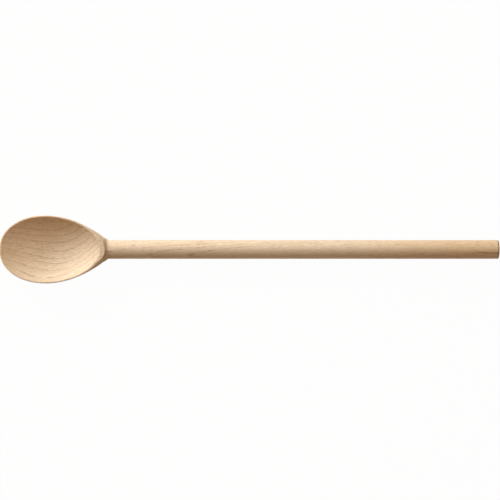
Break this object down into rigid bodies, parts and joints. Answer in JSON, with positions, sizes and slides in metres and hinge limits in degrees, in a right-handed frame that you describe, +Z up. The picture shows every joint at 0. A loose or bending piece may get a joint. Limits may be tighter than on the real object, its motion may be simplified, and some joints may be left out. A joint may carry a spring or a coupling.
{
  "type": "wooden spoon",
  "caption": "One-piece beech cooking spoon with a long round handle and a shallow egg-shaped bowl, for stirring, tasting and serving.",
  "frame": {"origin": "on the level of the belly's lowest point, below the middle of the spoon's length and on its plane of symmetry", "axes": "+X along the spoon from the bowl's tip to the end of the handle, +Y to the left seen that way, +Z up out of the bowl"},
  "size_m": [0.3, 0.0406, 0.014],
  "materials": {
    "beech": "plain sanded beech without varnish"
  },
  "bodies": {
    "root": {"wooden_spoon": "beech"}
  },
  "joints": []
}
